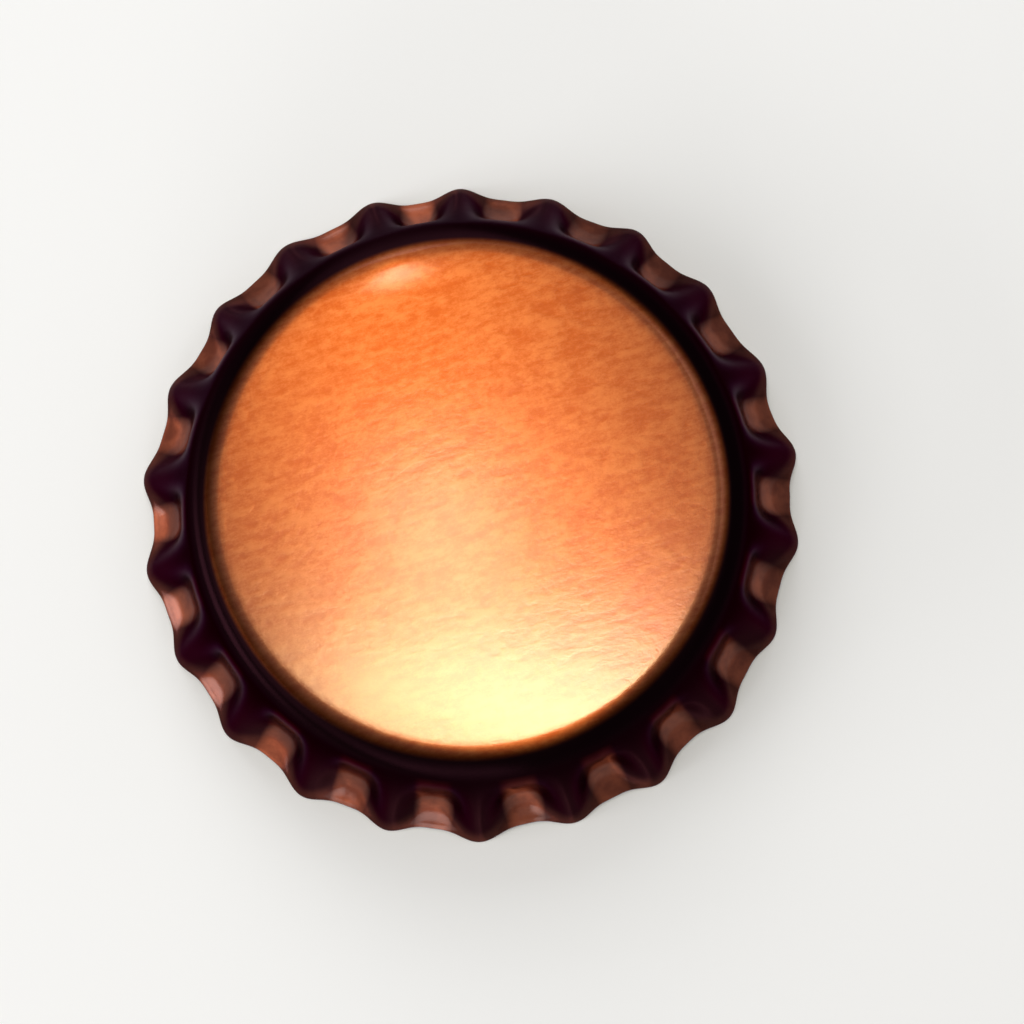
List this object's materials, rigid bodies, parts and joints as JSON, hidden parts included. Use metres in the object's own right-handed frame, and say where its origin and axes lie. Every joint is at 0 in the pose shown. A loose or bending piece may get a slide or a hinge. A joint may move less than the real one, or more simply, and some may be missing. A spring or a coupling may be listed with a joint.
{
  "type": "bottle cap",
  "caption": "Fluted sheet-metal pry-off bottle cap, not yet crimped, with a flat round panel, a flared skirt and a moulded sealing liner inside.",
  "frame": {"origin": "centre of the plane that the flute tips stand on", "axes": "+Z along the cap's axis, from the open edge to the panel; +X through a flute tip"},
  "size_m": [0.032, 0.0318, 0.006],
  "materials": {
    "shell": "tinplate under clear copper-coloured lacquer, with fine rolling lines on the panel and a dark skirt",
    "liner": "moulded off-white sealing compound, satin"
  },
  "bodies": {
    "root": {"shell": "shell", "liner": "liner"}
  },
  "joints": []
}
